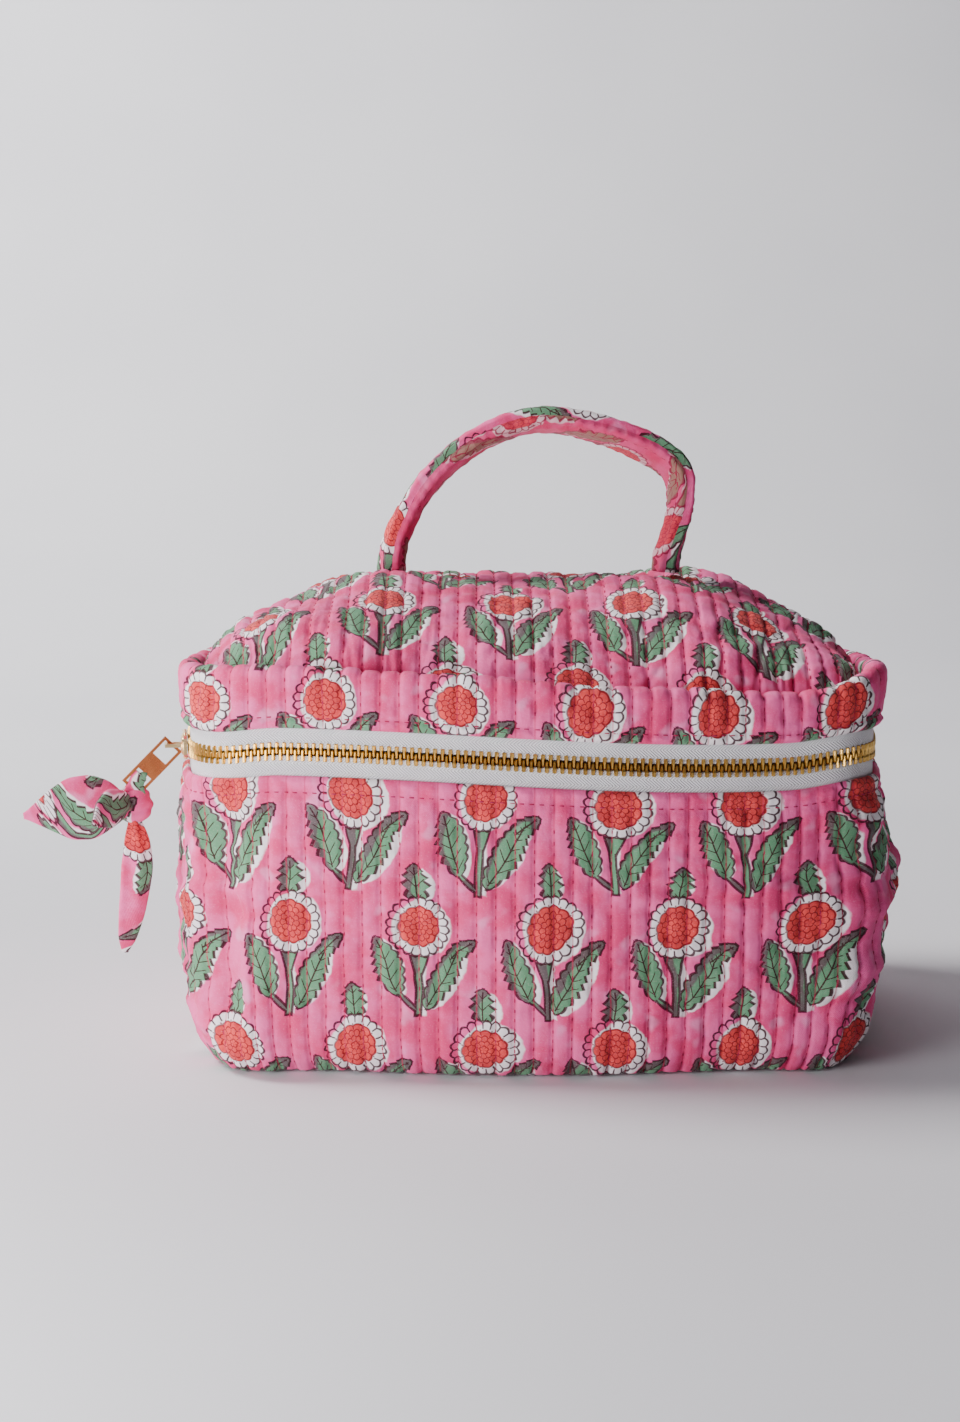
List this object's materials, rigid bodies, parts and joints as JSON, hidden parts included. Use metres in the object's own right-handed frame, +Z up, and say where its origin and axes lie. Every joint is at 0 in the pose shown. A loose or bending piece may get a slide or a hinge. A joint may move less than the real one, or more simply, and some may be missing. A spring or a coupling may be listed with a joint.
{
  "type": "makeup bag",
  "caption": "Box-shaped quilted cotton makeup bag with a zipped domed lid, a strap handle on top and a fabric bow on the zip pull.",
  "frame": {"origin": "centre of the base's underside, on the surface the bag stands on", "axes": "+Z up, +X to the right of someone who faces the front, -Y out of the front, lid hinge along X at the back"},
  "size_m": [0.2944, 0.1754, 0.2258],
  "materials": {
    "quilted_print": "matte block-printed cotton, machine quilted",
    "cotton_print": "matte block-printed cotton, single layer",
    "lining_cotton": "matte plain cotton",
    "zip_tape": "white woven polyester tape",
    "zip_brass": "polished gold-coloured brass",
    "pull_copper": "polished rose-gold plating"
  },
  "bodies": {
    "bag": {"base_panel": "quilted_print", "body_wall": "quilted_print", "back_panel": "quilted_print", "base_lining": "lining_cotton", "body_lining": "lining_cotton", "base_seam_binding": "cotton_print", "hinge_tape": "cotton_print", "lower_zip_tape": "zip_tape", "lower_zip_teeth": "zip_brass", "lower_zip_top_stop": "zip_brass", "zip_bottom_stop": "zip_brass"},
    "lid": {"upper_zip_tape": "zip_tape", "upper_zip_teeth": "zip_brass", "upper_zip_top_stop": "zip_brass", "lid_band": "quilted_print", "lid_back_band": "quilted_print", "lid_top": "quilted_print", "lid_band_lining": "lining_cotton", "lid_seam_binding": "cotton_print", "lid_lining": "lining_cotton"},
    "handle": {"handle_strap": "quilted_print"},
    "slider": {"zip_slider": "zip_brass"},
    "pull": {"pull_tab": "pull_copper"},
    "bow": {"bow_knot": "cotton_print", "bow_wing": "cotton_print", "bow_tail": "cotton_print"}
  },
  "joints": [
    {"name": "lid_hinge", "type": "hinge", "parent": "bag", "child": "lid", "pos_m": [0, 0.088, 0.109], "axis": [-1, 0, 0], "range_deg": [0, 110]},
    {"name": "handle_fold", "type": "hinge", "parent": "lid", "child": "handle", "pos_m": [0, 0, 0.1708], "axis": [1, 0, 0], "range_deg": [-80, 80]},
    {"name": "slider_travel", "type": "hinge", "parent": "bag", "child": "slider", "pos_m": [0.1375, 0, 0.109], "axis": [0, 0, -1], "range_deg": [0, 18.5]},
    {"name": "pull_swing", "type": "hinge", "parent": "slider", "child": "pull", "pos_m": [-0.12488, -0.04669, 0.109], "axis": [0, 0, 1], "range_deg": [-60, 60]},
    {"name": "bow_swing", "type": "hinge", "parent": "pull", "child": "bow", "pos_m": [-0.13657, -0.04877, 0.09712], "axis": [-0.1752, 0.9845, 0], "range_deg": [0, 60]}
  ]
}
